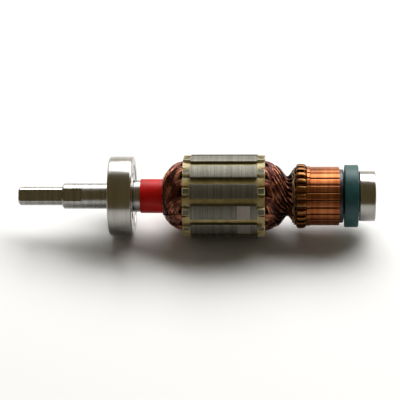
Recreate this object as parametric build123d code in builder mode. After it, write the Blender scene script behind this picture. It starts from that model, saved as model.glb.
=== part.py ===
from build123d import *

import os
from math import cos, radians, sin, sqrt, tan

# Millimetres. The shaft runs along X, and the origin is the middle of the drive bearing on the shaft's axis.

# Shaft, from the drive tip to the commutator end
tip_diameter = 7.0
tip_length = 16.8
tip_across_flats = 5.5
journal_diameter = 9.65
journal_length = 18.0
drive_seat_diameter = 10.0
wrench_across_flats = 8.4
wrench_flat_length = 7.5
core_diameter = 12.0
commutator_seat_diameter = 10.0
ring_seat_diameter = 8.0
tail_diameter = 7.0
tail_overhang = 0.4
shaft_chamfer = 0.6
tail_chamfer = 0.3
flat_angle = 135.0

# Drive bearing, of the 10 by 30 by 9 size
drive_bearing_outer_diameter = 30.0
drive_bearing_width = 9.0
drive_ball_share = 0.5018
drive_ball_count = 8
drive_corner_radius = 0.6

# Commutator bearing, of the 7 by 19 by 6 size
tail_bearing_outer_diameter = 19.0
tail_bearing_width = 6.0
tail_ball_share = 0.5833
tail_ball_count = 7
tail_corner_radius = 0.4

# Inside of both bearings; a ball is a share of the mean of its bearing's width and section height
land_height = 0.6
ball_clearance = 0.03
pocket_clearance = 0.08
cage_rim = 0.3
cage_half_height = 0.24
shield_thickness = 0.3
shield_recess = 0.25
shield_lip = 0.4
shield_clearance = 0.2

# Lamination stack
stack_diameter = 31.4
stack_length = 25.0
shoulder_to_stack = 21.8
slot_count = 12
slot_opening = 2.55
slot_bottom_radius = 8.8
tooth_width = 3.0
tooth_tip_thickness = 1.0
tooth_shoe_slope = 0.5
balance_flat_angles = (165.0, 195.0)
balance_flat_depth = 0.25
balance_flat_length = 5.0
balance_flat_inset = 2.5

# Insulation
end_insulator_thickness = 2.85
end_finger_width = 2.55
end_finger_drop = 0.4
end_hub_drop = 0.35
liner_thickness = 0.25
wedge_thickness = 0.5
wedge_arch = 0.4
wedge_end_arch = 0.1
wedge_end_lift = 0.45
wedge_end_spread = 0.18
bare_core_length = 2.6
sleeve_thickness = 0.45

# Winding
overhang_length = 7.9
nose_length = 9.2
overhang_drop = 0.6
overhang_nose_height = 0.4
overhang_belly = 0.25
coil_head_width = 2.8
coil_head_height = 1.0
coil_head_stations = ((0.0, 0.0), (0.33, 4.0), (0.57, 16.0), (0.75, 36.0))
neck_height = 0.5
neck_width = 0.5
lead_diameter = 0.95
lead_turn = 17.0

# Commutator
commutator_gap = 11.6
bar_count = 24
bar_slit = 0.5
brush_track_diameter = 22.1
brush_track_length = 10.9
bar_shoulder_diameter = 22.5
bar_shoulder_length = 1.2
hook_seat_diameter = 21.6
hook_length = 4.05
hook_width = 1.75
hook_height = 1.25
hook_thickness = 0.6
bar_depth = 2.6
slit_undercut = 0.7
mould_flange_length = 1.55
mould_flange_drop = 0.95
mould_flange_radius = 0.5

# Spacer ring between the commutator and its bearing
ring_diameter = 23.5
ring_length = 5.2
ring_front_gap = 0.4
ring_back_gap = 0.35
ring_boss_height = 0.75
ring_corner_radius = 0.45

# Stations along the shaft
drive_bearing_end = drive_bearing_width / 2
drive_bearing_start = -drive_bearing_end
journal_start = drive_bearing_start - journal_length
tip_start = journal_start - tip_length
sleeve_start = drive_bearing_end + bare_core_length
stack_start = drive_bearing_end + shoulder_to_stack
stack_end = stack_start + stack_length
front_insulator_start = stack_start - end_insulator_thickness
rear_insulator_end = stack_end + end_insulator_thickness
commutator_start = rear_insulator_end + commutator_gap
bar_shoulder_start = commutator_start + hook_length
brush_track_start = bar_shoulder_start + bar_shoulder_length
bar_end = brush_track_start + brush_track_length
mould_end = bar_end + mould_flange_length
ring_start = mould_end + ring_front_gap
ring_end = ring_start + ring_length
tail_bearing_start = ring_end + ring_back_gap
tail_bearing_end = tail_bearing_start + tail_bearing_width
shaft_end = tail_bearing_end + tail_overhang

# Radii that the pieces share
core_radius = core_diameter / 2
sleeve_radius = core_radius + sleeve_thickness
stack_radius = stack_diameter / 2
tooth_tip_radius = stack_radius - tooth_tip_thickness
wedge_outer_radius = tooth_tip_radius - tooth_shoe_slope
wedge_inner_radius = wedge_outer_radius - wedge_thickness
overhang_radius = wedge_inner_radius - overhang_drop
dome_radius = overhang_radius - coil_head_height
end_hub_radius = slot_bottom_radius - end_hub_drop
neck_radius = core_radius + neck_height
neck_station = rear_insulator_end + overhang_length
hook_seat_radius = hook_seat_diameter / 2
brush_track_radius = brush_track_diameter / 2
bar_root_radius = brush_track_radius - bar_depth
commutator_seat_radius = commutator_seat_diameter / 2
ring_seat_radius = ring_seat_diameter / 2
mould_flange_outer = brush_track_radius - mould_flange_drop


def half_width(radius, count, wall):
    """Half the gap at a radius between two of count radial walls, each of even thickness."""
    half_pitch = radians(180 / count)
    return radius * tan(half_pitch) - wall / 2 / cos(half_pitch)


def turned(profile):
    """A piece turned about the shaft's axis from its outline of (station, radius) points."""
    with BuildPart() as piece:
        with BuildSketch(Plane.XZ):
            with BuildLine():
                Polyline(*profile, close=True)
            make_face()
        revolve(axis=Axis.X)
    return piece


def save(piece, name):
    piece.part.label = name
    export_step(piece.part, f"parts/{name}.step")


os.makedirs("parts", exist_ok=True)

# Shaft
journal_radius = journal_diameter / 2
tail_radius = tail_diameter / 2
flat_direction = (0, cos(radians(flat_angle)), sin(radians(flat_angle)))
with BuildPart() as shaft:
    with BuildSketch(Plane.XZ):
        with BuildLine():
            Polyline(
                (tip_start, 0),
                (tip_start, tip_diameter / 2 - shaft_chamfer),
                (tip_start + shaft_chamfer, tip_diameter / 2),
                (journal_start, tip_diameter / 2),
                (journal_start, journal_radius - shaft_chamfer),
                (journal_start + shaft_chamfer, journal_radius),
                (drive_bearing_start, journal_radius),
                (drive_bearing_start, drive_seat_diameter / 2),
                (drive_bearing_end, drive_seat_diameter / 2),
                (drive_bearing_end, core_radius),
                (commutator_start, core_radius),
                (commutator_start, commutator_seat_radius),
                (mould_end, commutator_seat_radius),
                (mould_end, ring_seat_radius),
                (tail_bearing_start, ring_seat_radius),
                (tail_bearing_start, tail_radius),
                (shaft_end - tail_chamfer, tail_radius),
                (shaft_end, tail_radius - tail_chamfer),
                (shaft_end, 0),
                close=True,
            )
        make_face()
    revolve(axis=Axis.X)
    for start, length, across, diameter in (
        (tip_start, tip_length, tip_across_flats, tip_diameter),
        (journal_start, wrench_flat_length, wrench_across_flats, journal_diameter),
    ):
        with BuildSketch(Plane(origin=(start, 0, 0), x_dir=flat_direction, z_dir=(1, 0, 0))):
            with Locations((across / 2 + diameter / 2, 0), (-across / 2 - diameter / 2, 0)):
                Rectangle(diameter, diameter * 2)
        extrude(amount=length, mode=Mode.SUBTRACT)
save(shaft, "shaft")

# Slots of the lamination stack


def slot_outline(inset, top_radius):
    """Lower part of a slot up to a radius, drawn along +x and set in from its walls."""
    half_pitch = radians(180 / slot_count)
    bottom = slot_bottom_radius + inset
    wall = tooth_width + 2 * inset
    bottom_half = half_width(bottom, slot_count, wall)
    top_half = half_width(top_radius, slot_count, wall)
    with BuildSketch() as outline:
        with BuildLine():
            ThreePointArc(
                (bottom, -bottom_half),
                (bottom - bottom_half * sin(half_pitch), 0),
                (bottom, bottom_half),
            )
            Polyline((bottom, bottom_half), (top_radius, top_half))
            Polyline((top_radius, top_half), (top_radius, -top_half))
            Polyline((top_radius, -top_half), (bottom, -bottom_half))
        make_face()
    return outline


shoe_half = half_width(wedge_outer_radius, slot_count, tooth_width)
with BuildSketch() as open_slot:
    add(slot_outline(0, wedge_outer_radius).sketch)
    Polygon(
        (wedge_outer_radius, shoe_half),
        (wedge_outer_radius, -shoe_half),
        (tooth_tip_radius, -slot_opening / 2),
        (tooth_tip_radius, slot_opening / 2),
        align=None,
    )
    with Locations((tooth_tip_radius + tooth_tip_thickness, 0)):
        Rectangle(tooth_tip_thickness * 2, slot_opening)

# Lamination stack
with BuildPart() as lamination_stack:
    with BuildSketch(Plane.YZ.offset(stack_start)):
        Circle(stack_radius)
        Circle(core_radius, mode=Mode.SUBTRACT)
        with PolarLocations(0, slot_count):
            add(open_slot.sketch, mode=Mode.SUBTRACT)
    extrude(amount=stack_length)
    for angle in balance_flat_angles:
        with BuildSketch(Plane.YZ.offset(stack_end - balance_flat_inset)):
            with PolarLocations(0, 1, start_angle=angle):
                with Locations((stack_radius * 1.5 - balance_flat_depth, 0)):
                    Rectangle(stack_radius, stack_radius)
        extrude(amount=-balance_flat_length, mode=Mode.SUBTRACT)
save(lamination_stack, "lamination_stack")

# End insulators, with a finger over each tooth
finger_radius = stack_radius - end_finger_drop
for name, start in (
    ("end_insulator_drive", front_insulator_start),
    ("end_insulator_commutator", stack_end),
):
    with BuildPart() as end_insulator:
        with BuildSketch(Plane.YZ.offset(start)):
            Circle(end_hub_radius)
            with PolarLocations(0, slot_count, start_angle=180 / slot_count):
                with Locations((finger_radius / 2, 0)):
                    Rectangle(finger_radius, end_finger_width)
            Circle(core_radius, mode=Mode.SUBTRACT)
        extrude(amount=end_insulator_thickness)
    save(end_insulator, name)

# Slot liners, one in each slot
insulated_length = rear_insulator_end - front_insulator_start
with BuildSketch() as liner_section:
    add(slot_outline(0, wedge_inner_radius).sketch)
    add(slot_outline(liner_thickness, stack_radius).sketch, mode=Mode.SUBTRACT)
with BuildPart() as slot_liners:
    with BuildSketch(Plane.YZ.offset(front_insulator_start)):
        with PolarLocations(0, slot_count):
            add(liner_section.sketch)
    extrude(amount=insulated_length)
save(slot_liners, "slot_liners")

# Slot wedges, arched under the tooth tips, with ends that open out past the stack
wedge_half = half_width(wedge_inner_radius, slot_count, tooth_width)
with BuildPart() as wedge_form:
    for station, half, lift, arch in (
        (front_insulator_start, wedge_half + wedge_end_spread, wedge_end_lift, wedge_end_arch),
        (stack_start, wedge_half, 0, wedge_arch),
        (stack_end, wedge_half, 0, wedge_arch),
        (rear_insulator_end, wedge_half + wedge_end_spread, wedge_end_lift, wedge_end_arch),
    ):
        inner = wedge_inner_radius + lift
        outer = inner + wedge_thickness
        with BuildSketch(Plane.YZ.offset(station)):
            with BuildLine():
                ThreePointArc((inner, -half), (inner + arch, 0), (inner, half))
                Polyline((inner, half), (outer, half))
                ThreePointArc((outer, half), (outer + arch, 0), (outer, -half))
                Polyline((outer, -half), (inner, -half))
            make_face()
    loft(ruled=True)

for index in range(slot_count):
    with BuildPart() as wedge:
        add(wedge_form.part, rotation=(360 / slot_count * index, 0, 0))
    save(wedge, f"slot_wedge_{index + 1:02d}")

# Winding: both overhangs, the coil sides in the slots and the leads to the commutator
coil_section = slot_outline(liner_thickness, wedge_inner_radius)
nose_start = front_insulator_start - nose_length
nose_radius = sleeve_radius + overhang_nose_height


def dome_outline(mouth, end, end_radius):
    """Outline of an overhang's dome, in two arcs from the insulator outwards."""
    middle = (
        mouth + (end - mouth) * (1 + overhang_belly) / 2,
        dome_radius - (dome_radius - end_radius) * (1 - overhang_belly) / 2,
    )
    with BuildLine() as outline:
        crown = TangentArc((mouth, dome_radius), middle, tangent=(end - mouth, 0))
        TangentArc(middle, (end, end_radius), tangent=crown % 1)
    return outline


def coil_head(outline):
    """One coil's head: it leaves its slot along the shaft and turns round it as the dome falls away."""
    dome_line = outline.wire()
    outward = Vector((dome_line @ 1).X - (dome_line @ 0).X, 0, 0)
    centres = []
    for share, turn in coil_head_stations:
        place = dome_line @ share
        radius = place.Y + coil_head_height * (1 - share**2) - coil_head_width / 2
        centres.append(Vector(place.X, radius * cos(radians(turn)), radius * sin(radians(turn))))
    with BuildPart() as head:
        with BuildLine():
            Spline(*centres, tangents=(outward, centres[-1] - centres[-2]))
        with BuildSketch(Plane(origin=centres[0], x_dir=(0, 1, 0), z_dir=outward)):
            Circle(coil_head_width / 2)
        sweep()
    return head


front_dome = dome_outline(front_insulator_start, nose_start, nose_radius)
rear_dome = dome_outline(rear_insulator_end, neck_station, neck_radius)
front_head = coil_head(front_dome)
rear_head = coil_head(rear_dome)

# A lead runs along the neck and up to the middle of its bar, under the hook
neck_end = neck_station + neck_width
lead_lift = lead_diameter / 4
lead_end_radius = hook_seat_radius - lead_diameter / 2
with BuildPart() as lead:
    for station, radius, turn in (
        (neck_station - neck_width, neck_radius + lead_lift, lead_turn),
        (neck_end, neck_radius + lead_lift, lead_turn),
        (commutator_start, lead_end_radius, 0),
    ):
        with BuildSketch(Plane.YZ.offset(station)):
            with PolarLocations(radius, 1, start_angle=-turn):
                Circle(lead_diameter / 2)
    loft(ruled=True)

with BuildPart() as winding:
    with BuildSketch(Plane.XZ):
        with BuildLine():
            add(front_dome.line)
            Polyline(
                (nose_start, nose_radius),
                (nose_start, 0),
                (front_insulator_start, 0),
                (front_insulator_start, dome_radius),
            )
        make_face()
    revolve(axis=Axis.X)
    with BuildSketch(Plane.XZ):
        with BuildLine():
            add(rear_dome.line)
            Polyline(
                (neck_station, neck_radius),
                (neck_end, neck_radius),
                (commutator_start, lead_end_radius - lead_lift),
                (commutator_start, 0),
                (rear_insulator_end, 0),
                (rear_insulator_end, dome_radius),
            )
        make_face()
    revolve(axis=Axis.X)
    with Locations([Location((0, 0, 0), (360 / slot_count * index, 0, 0)) for index in range(slot_count)]):
        add(front_head.part)
        add(rear_head.part)
    with Locations([Location((0, 0, 0), (360 / bar_count * (index + 0.5), 0, 0)) for index in range(bar_count)]):
        add(lead.part)
    for start, end, bore in (
        (nose_start, front_insulator_start, sleeve_radius),
        (rear_insulator_end, commutator_start, core_radius),
    ):
        with BuildSketch(Plane.YZ.offset(start)):
            Circle(bore)
        extrude(amount=end - start, mode=Mode.SUBTRACT)
    with BuildSketch(Plane.YZ.offset(front_insulator_start)):
        with PolarLocations(0, slot_count):
            add(coil_section.sketch)
    extrude(amount=insulated_length)
save(winding, "winding")

# Insulating sleeve on the shaft
sleeve = turned(
    [
        (sleeve_start, core_radius),
        (sleeve_start, sleeve_radius),
        (front_insulator_start, sleeve_radius),
        (front_insulator_start, core_radius),
    ]
)
save(sleeve, "insulating_sleeve")

# Commutator moulding, with a rib in each slit and a flange at the brush end
rib_radius = brush_track_radius - slit_undercut
with BuildPart() as moulding:
    with BuildSketch(Plane.YZ.offset(commutator_start)):
        Circle(bar_root_radius)
        with PolarLocations(0, bar_count):
            with Locations((rib_radius / 2, 0)):
                Rectangle(rib_radius, bar_slit)
        Circle(commutator_seat_radius, mode=Mode.SUBTRACT)
    extrude(amount=bar_end - commutator_start)
    with BuildSketch(Plane.YZ.offset(bar_end)):
        Circle(mould_flange_outer)
        Circle(commutator_seat_radius, mode=Mode.SUBTRACT)
    extrude(amount=mould_flange_length)
    flange_edge = moulding.edges().filter_by(GeomType.CIRCLE).group_by(Axis.X)[-1].sort_by(SortBy.RADIUS)[-1]
    fillet(flange_edge, mould_flange_radius)
save(moulding, "commutator_moulding")


def bar_outline(outer_radius):
    """Cross-section of one bar, drawn along +x between its slits."""
    inner = bar_root_radius / 2
    inner_half = half_width(inner, bar_count, bar_slit)
    outer_half = half_width(outer_radius, bar_count, bar_slit)
    with BuildSketch() as outline:
        Polygon(
            (inner, inner_half),
            (inner, -inner_half),
            (outer_radius, -outer_half),
            (outer_radius, outer_half),
            align=None,
        )
        Circle(outer_radius, mode=Mode.INTERSECT)
        Circle(bar_root_radius, mode=Mode.SUBTRACT)
    return outline


# Commutator bar with its hook folded back over the lead
hook_radius = hook_seat_radius + hook_height
hook_end = bar_shoulder_start
with BuildPart() as bar_form:
    for start, length, diameter in (
        (commutator_start, hook_length, hook_seat_diameter),
        (bar_shoulder_start, bar_shoulder_length, bar_shoulder_diameter),
        (brush_track_start, brush_track_length, brush_track_diameter),
    ):
        with BuildSketch(Plane.YZ.offset(start)):
            add(bar_outline(diameter / 2).sketch)
        extrude(amount=length)
    with BuildSketch(Plane.XY):
        with BuildLine():
            Polyline(
                (hook_end, hook_seat_radius - hook_thickness),
                (commutator_start, hook_seat_radius - hook_thickness),
                (commutator_start, hook_seat_radius),
            )
            RadiusArc((commutator_start, hook_seat_radius), (commutator_start + hook_height, hook_radius), hook_height)
            Polyline((commutator_start + hook_height, hook_radius), (hook_end - hook_height, hook_radius))
            RadiusArc((hook_end - hook_height, hook_radius), (hook_end, hook_seat_radius), hook_height)
            Polyline((hook_end, hook_seat_radius), (hook_end, hook_seat_radius - hook_thickness))
        make_face()
        with Locations(((commutator_start + hook_end) / 2, hook_seat_radius + (hook_height - hook_thickness) / 2)):
            Rectangle(hook_length - 2 * hook_thickness, hook_height - hook_thickness, mode=Mode.SUBTRACT)
    extrude(amount=hook_width / 2, both=True)

for index in range(bar_count):
    turn = 360 / bar_count * (index + 0.5)
    with BuildPart() as bar:
        add(bar_form.part, rotation=(turn, 0, 0))
    save(bar, f"commutator_bar_{index + 1:02d}")

# Spacer ring, with a boss on each side that bridges the gap to its neighbour
boss_radius = ring_seat_radius + ring_boss_height
with BuildPart() as spacer_ring:
    with BuildSketch(Plane.XZ):
        with BuildLine():
            Polyline(
                (mould_end, ring_seat_radius),
                (mould_end, boss_radius),
                (ring_start, boss_radius),
                (ring_start, ring_diameter / 2),
                (ring_end, ring_diameter / 2),
                (ring_end, boss_radius),
                (tail_bearing_start, boss_radius),
                (tail_bearing_start, ring_seat_radius),
                close=True,
            )
        make_face()
    revolve(axis=Axis.X)
    rim_edges = spacer_ring.edges().filter_by(GeomType.CIRCLE).group_by(SortBy.RADIUS)[-1]
    fillet(rim_edges, ring_corner_radius)
save(spacer_ring, "spacer_ring")


def save_bearing(prefix, start, width, bore, outer_diameter, ball_share, ball_count, corner):
    """Rings, balls, cage and shields of one deep-groove bearing."""
    middle = start + width / 2
    end = start + width
    bore_radius = bore / 2
    outer_radius = outer_diameter / 2
    ball_diameter = ball_share * sqrt(width * (outer_radius - bore_radius))
    ball_radius = ball_diameter / 2
    pitch_radius = (bore_radius + outer_radius) / 2
    inner_land = pitch_radius - ball_radius * land_height
    outer_land = pitch_radius + ball_radius * land_height
    shield_seat = outer_land + shield_lip
    shield_depth = shield_recess + shield_thickness
    groove_radius = ball_radius + ball_clearance

    with BuildPart() as inner_ring:
        with BuildSketch(Plane.XZ):
            with Locations((middle, (bore_radius + inner_land) / 2)):
                Rectangle(width, inner_land - bore_radius)
            with Locations((middle, pitch_radius)):
                Circle(groove_radius, mode=Mode.SUBTRACT)
        revolve(axis=Axis.X)
    save(inner_ring, f"{prefix}_inner_ring")

    with BuildPart() as outer_ring:
        with BuildSketch(Plane.XZ):
            with BuildLine():
                Polyline(
                    (start, shield_seat),
                    (start, outer_radius),
                    (end, outer_radius),
                    (end, shield_seat),
                    (end - shield_depth, shield_seat),
                    (end - shield_depth, outer_land),
                    (start + shield_depth, outer_land),
                    (start + shield_depth, shield_seat),
                    close=True,
                )
            make_face()
            with Locations((middle, pitch_radius)):
                Circle(groove_radius, mode=Mode.SUBTRACT)
        revolve(axis=Axis.X)
        rims = outer_ring.edges().filter_by(GeomType.CIRCLE).group_by(SortBy.RADIUS)[-1]
        fillet(rims, corner)
    save(outer_ring, f"{prefix}_outer_ring")

    with BuildPart() as balls:
        with Locations(Plane.YZ.offset(middle)):
            with PolarLocations(pitch_radius, ball_count, start_angle=flat_angle):
                Sphere(ball_radius)
    save(balls, f"{prefix}_balls")

    pocket_radius = ball_radius + pocket_clearance
    cage_half_width = pocket_radius + cage_rim
    cage_height = ball_diameter * cage_half_height
    with BuildPart() as cage:
        with BuildSketch(Plane.XZ):
            with Locations((middle, pitch_radius)):
                Rectangle(cage_half_width * 2, cage_height)
        revolve(axis=Axis.X)
        with Locations(Plane.YZ.offset(middle)):
            with PolarLocations(pitch_radius, ball_count, start_angle=flat_angle):
                Cylinder(pocket_radius, ball_diameter, rotation=(0, 90, 0), mode=Mode.SUBTRACT)
    save(cage, f"{prefix}_cage")

    for side, face in (("outboard", start + shield_recess), ("inboard", end - shield_depth)):
        shield = turned(
            [
                (face, inner_land + shield_clearance),
                (face, shield_seat),
                (face + shield_thickness, shield_seat),
                (face + shield_thickness, inner_land + shield_clearance),
            ]
        )
        save(shield, f"{prefix}_shield_{side}")


save_bearing(
    "drive_bearing",
    drive_bearing_start,
    drive_bearing_width,
    drive_seat_diameter,
    drive_bearing_outer_diameter,
    drive_ball_share,
    drive_ball_count,
    drive_corner_radius,
)
save_bearing(
    "tail_bearing",
    tail_bearing_start,
    tail_bearing_width,
    tail_diameter,
    tail_bearing_outer_diameter,
    tail_ball_share,
    tail_ball_count,
    tail_corner_radius,
)
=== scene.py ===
import bpy
import numpy as np
from mathutils import Matrix, Vector
from mathutils.geometry import tessellate_polygon


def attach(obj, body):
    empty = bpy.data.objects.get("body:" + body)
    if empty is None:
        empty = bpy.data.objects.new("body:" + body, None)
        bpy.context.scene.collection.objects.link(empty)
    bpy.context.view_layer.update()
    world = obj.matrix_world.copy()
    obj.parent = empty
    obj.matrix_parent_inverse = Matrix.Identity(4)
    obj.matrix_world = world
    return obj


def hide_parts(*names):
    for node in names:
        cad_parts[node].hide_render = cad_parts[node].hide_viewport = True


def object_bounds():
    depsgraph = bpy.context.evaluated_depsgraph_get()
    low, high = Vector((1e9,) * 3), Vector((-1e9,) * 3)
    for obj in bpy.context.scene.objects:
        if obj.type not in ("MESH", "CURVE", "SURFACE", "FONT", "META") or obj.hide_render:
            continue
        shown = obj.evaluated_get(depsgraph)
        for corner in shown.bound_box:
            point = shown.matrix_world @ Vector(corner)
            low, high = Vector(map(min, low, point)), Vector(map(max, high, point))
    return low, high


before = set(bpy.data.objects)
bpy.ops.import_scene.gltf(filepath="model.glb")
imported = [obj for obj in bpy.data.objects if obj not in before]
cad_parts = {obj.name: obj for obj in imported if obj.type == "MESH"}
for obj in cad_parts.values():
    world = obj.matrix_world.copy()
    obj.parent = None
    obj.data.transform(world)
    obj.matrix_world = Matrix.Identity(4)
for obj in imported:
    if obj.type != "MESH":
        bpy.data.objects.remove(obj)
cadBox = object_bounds()
print("frame loaded")

mm = 0.001  # every size below is in millimetres and is turned to metres once
rng = np.random.default_rng(12)


# Measures from the frame, in millimetres

def reach(node):
    # first and last station of a CAD node along the shaft, and its least and greatest radius about it
    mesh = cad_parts[node].data
    co = np.empty(len(mesh.vertices) * 3, np.float32)
    mesh.vertices.foreach_get("co", co)
    co = co.reshape(-1, 3).astype(float) / mm
    radii = np.hypot(co[:, 1], co[:, 2])
    return co[:, 0].min(), co[:, 0].max(), radii.min(), radii.max()


shaftStart, shaftEnd, _, coreRadius = reach("shaft")
stackStart, stackEnd, _, stackRadius = reach("lamination_stack")
frontStart, _, _, fingerRadius = reach("end_insulator_drive")
_, rearEnd, _, _ = reach("end_insulator_commutator")
_, _, wedgeInner, _ = reach("slot_wedge_01")
sleeveStart, _, _, sleeveRadius = reach("insulating_sleeve")
windingStart, commStart, _, _ = reach("winding")
_, mouldEnd, _, _ = reach("commutator_moulding")
_, barEnd, barRoot, hookRadius = reach("commutator_bar_01")
_, _, ringBore, _ = reach("spacer_ring")


# Mesh helpers

def unit(v):
    # each row divided by its own length
    return v / np.linalg.norm(v, axis=-1, keepdims=True)


def aroundShaft(x, radius, angle):
    # a point at a station, a radius and an angle about the shaft, with the angle from +Y towards +Z
    x, radius, angle = np.broadcast_arrays(x, radius, angle)
    return np.stack([x, radius * np.cos(angle), radius * np.sin(angle)], -1)


def turnedTo(points, angle):
    # points as (station, across, out): (out cos - across sin, out sin + across cos) turns out from +Y to the angle
    x, across, out = points.T
    y = out * np.cos(angle) - across * np.sin(angle)
    z = out * np.sin(angle) + across * np.cos(angle)
    return np.stack(np.broadcast_arrays(x, y, z), -1)


def quadGrid(rows, columns, wrapRows=False, wrapColumns=False):
    # the four corners of each cell of a grid of points counted row by row
    i = np.arange(rows if wrapRows else rows - 1)[:, None]
    j = np.arange(columns if wrapColumns else columns - 1)[None, :]
    nextI, nextJ = (i + 1) % rows, (j + 1) % columns
    cell = [i * columns + j, nextI * columns + j, nextI * columns + nextJ, i * columns + nextJ]
    return np.stack(np.broadcast_arrays(*cell), -1).reshape(-1, 4)


def sweptShell(grid, wrapRows=False):
    # closed shell from grid[row, column]: each row is a closed ring, and the ends are fans unless rows wrap
    rows, columns = grid.shape[:2]
    points = grid.reshape(-1, 3)
    faces = [quadGrid(rows, columns, wrapRows, True)]
    if not wrapRows:
        middles = np.stack([grid[0].mean(0), grid[-1].mean(0)])
        j = np.arange(columns)
        nextJ = (j + 1) % columns
        first, last = len(points), len(points) + 1
        end = (rows - 1) * columns
        faces.append(np.stack([np.full(columns, first), j, nextJ], -1))
        faces.append(np.stack([np.full(columns, last), end + nextJ, end + j], -1))
        points = np.concatenate([points, middles])
    return points, faces


def copies(shell, count):
    # shell is (points[copy, n, 3], faces of one copy): the same faces again for each copy
    points, faces = shell
    step = points.shape[1]
    shift = np.arange(count)[:, None, None] * step
    return points.reshape(-1, 3), [(f[None] + shift).reshape(-1, f.shape[1]) for f in faces]


def volumeOf(points, faces):
    # six times the signed volume: the sum of a . (b x c) over fans of every face
    total = 0.0
    for group in faces:
        a = points[group[:, 0]]
        for k in range(1, group.shape[1] - 1):
            total += np.einsum("ij,ij->", a, np.cross(points[group[:, k]], points[group[:, k + 1]]))
    return total


def addObject(name, data):
    # an object at the origin, in the scene's own collection
    thing = bpy.data.objects.new(name, data)
    bpy.context.scene.collection.objects.link(thing)
    return thing


def makePiece(name, shells, material, nodes=(), body="armature", sharpDegrees=32):
    # joins closed shells (points, faces and perhaps a tint), turned to face outwards, into one mesh in metres
    points, corners, lengths, tints, start = [], [], [], [], 0
    for shellPoints, faces, *tint in shells:
        tints.append(tint[0] if tint else np.zeros(len(shellPoints)))
        if volumeOf(shellPoints, faces) < 0:
            faces = [group[:, ::-1] for group in faces]
        for group in faces:
            corners.append((group + start).ravel())
            lengths.append(np.full(len(group), group.shape[1]))
        points.append(shellPoints)
        start += len(shellPoints)
    points, corners = np.concatenate(points) * mm, np.concatenate(corners)
    lengths = np.concatenate(lengths)
    mesh = bpy.data.meshes.new(name)
    mesh.vertices.add(len(points))
    mesh.vertices.foreach_set("co", points.astype(np.float32).ravel())
    mesh.loops.add(len(corners))
    mesh.loops.foreach_set("vertex_index", corners.astype(np.int32))
    mesh.polygons.add(len(lengths))
    starts = np.concatenate([[0], np.cumsum(lengths)[:-1]])
    mesh.polygons.foreach_set("loop_start", starts.astype(np.int32))
    tint = np.concatenate(tints).astype(np.float32)
    if tint.any():
        mesh.attributes.new("tint", "FLOAT", "POINT").data.foreach_set("value", tint)
    mesh.update(calc_edges=True)
    mesh.validate()
    mesh.shade_smooth()
    mesh.set_sharp_from_angle(angle=np.radians(sharpDegrees))
    mesh.materials.append(material)
    piece = addObject(name, mesh)
    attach(piece, body)
    if nodes:
        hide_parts(*nodes)


def roundedOutline(corners, radii, steps=5):
    # each corner of a closed outline becomes an arc that touches both of its sides
    corners, radii = np.asarray(corners, float), np.broadcast_to(radii, len(corners))[:, None]
    toLast, toNext = unit(np.roll(corners, 1, 0) - corners), unit(np.roll(corners, -1, 0) - corners)
    half = np.arccos(np.clip((toLast * toNext).sum(1, keepdims=True), -1, 1)) / 2
    centre = corners + unit(toLast + toNext) * radii / np.sin(half)
    start = corners + toLast * radii / np.tan(half) - centre
    end = corners + toNext * radii / np.tan(half) - centre
    sweep = np.pi - 2 * half
    t = np.linspace(0, 1, steps)[None, :, None]
    sweep, start, end, centre = sweep[:, None], start[:, None], end[:, None], centre[:, None]
    arc = centre + (np.sin((1 - t) * sweep) * start + np.sin(t * sweep) * end) / np.sin(sweep)
    return arc.reshape(-1, 2)


def lathe(outline, sides=160):
    # a closed outline of (station, radius) carried once round the shaft
    angle = np.arange(sides) / sides * 2 * np.pi
    x, radius = np.asarray(outline, float).T
    grid = aroundShaft(x[None, :], radius[None, :], angle[:, None])
    return sweptShell(grid, wrapRows=True)


def tubes(paths, radius, sides=7):
    # paths[wire, step, 3]: a round section carried along each path on a frame square to its direction
    ahead = unit(np.gradient(paths, axis=1))
    outward = paths * [0, 1, 1]
    side = unit(np.cross(ahead, outward))
    up = np.cross(side, ahead)
    angle = np.arange(sides) / sides * 2 * np.pi
    ring = np.cos(angle)[:, None] * side[:, :, None] + np.sin(angle)[:, None] * up[:, :, None]
    grid = paths[:, :, None] + np.asarray(radius) * ring
    faces = sweptShell(grid[0])[1]
    ends = np.stack([grid[:, 0].mean(1), grid[:, -1].mean(1)], 1)
    points = np.concatenate([grid.reshape(len(grid), -1, 3), ends], 1)
    return copies((points, faces), len(grid))


def smoothLine(points, steps):
    # cubic B-spline through repeated ends: each step is a weighted sum of four neighbouring points
    points = np.concatenate([points[..., :1, :]] * 2 + [points] + [points[..., -1:, :]] * 2, -2)
    spans = points.shape[-2] - 3
    t = np.linspace(0, spans - 1e-9, steps)
    k = t.astype(int)
    t = (t - k)[:, None]
    weights = [(1 - t) ** 3, 3 * t ** 3 - 6 * t ** 2 + 4, -3 * t ** 3 + 3 * t ** 2 + 3 * t + 1, t ** 3]
    return sum(w * points[..., k + n, :] for n, w in enumerate(weights)) / 6


# Material helpers

def newMaterial(name, **sockets):
    # a material with one Principled shader, whose constant numbers stand on its own sockets
    material = bpy.data.materials.new(name)
    material.use_nodes = True
    shader = material.node_tree.nodes["Principled BSDF"]
    for socket, value in sockets.items():
        shader.inputs[socket.replace("_", " ")].default_value = value
    return material, material.node_tree, shader


def addNode(tree, kind, inputs=(), **settings):
    # a node with its settings and its input values or links
    node = tree.nodes.new(kind)
    for key, value in settings.items():
        setattr(node, key, value)
    for key, value in dict(inputs).items():
        if isinstance(value, bpy.types.NodeSocket):
            tree.links.new(value, node.inputs[key])
        else:
            node.inputs[key].default_value = value
    return node


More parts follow.
